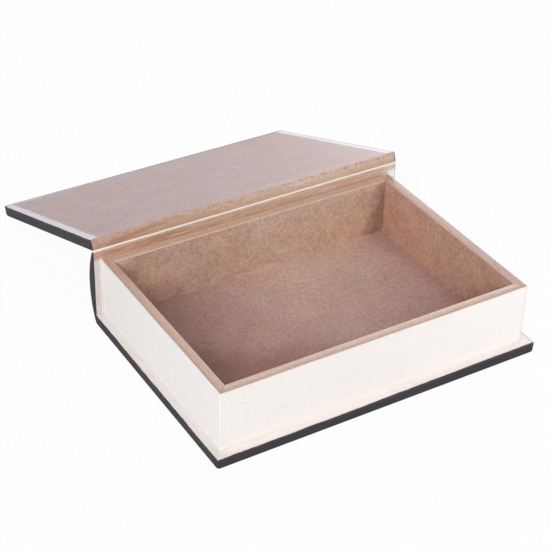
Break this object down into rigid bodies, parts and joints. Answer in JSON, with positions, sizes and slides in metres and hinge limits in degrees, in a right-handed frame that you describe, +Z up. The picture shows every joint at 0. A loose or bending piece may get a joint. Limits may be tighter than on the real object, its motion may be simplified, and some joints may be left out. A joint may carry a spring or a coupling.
{
  "type": "book-shaped storage box",
  "caption": "Hinged wooden keepsake box shaped like a hardback book, with page-edge walls, a rounded spine and a lid that folds back on a cloth hinge.",
  "frame": {"origin": "centre of the bottom cover's underside, on the table, midway between the fore-edge and the flat of the spine", "axes": "+X along the spine, +Y from the fore-edge to the spine, +Z up"},
  "size_m": [0.27, 0.369, 0.0748],
  "materials": {
    "mdf": "bare medium-density fibreboard, matt, with fine speckle",
    "page_white": "matt off-white with fine level combed lines",
    "leatherette": "dark charcoal fine-grained leatherette, low sheen",
    "hinge_cloth": "thin cream cloth"
  },
  "bodies": {
    "box": {"bottom_board": "mdf", "base_cover": "leatherette", "front_wall": "mdf", "rear_wall": "mdf", "left_wall": "mdf", "right_wall": "mdf", "front_page_edge": "page_white", "left_page_edge": "page_white", "right_page_edge": "page_white", "spine_moulding": "mdf", "spine_cover": "leatherette", "hinge_fold": "hinge_cloth"},
    "lid": {"lid_board": "mdf", "lid_cover": "leatherette"}
  },
  "joints": [
    {"name": "lid_hinge", "type": "hinge", "parent": "box", "child": "lid", "pos_m": [0, 0.09425, 0.06672], "axis": [1, 0, 0], "range_deg": [0, 200.86], "deforming": ["hinge_fold"]}
  ]
}
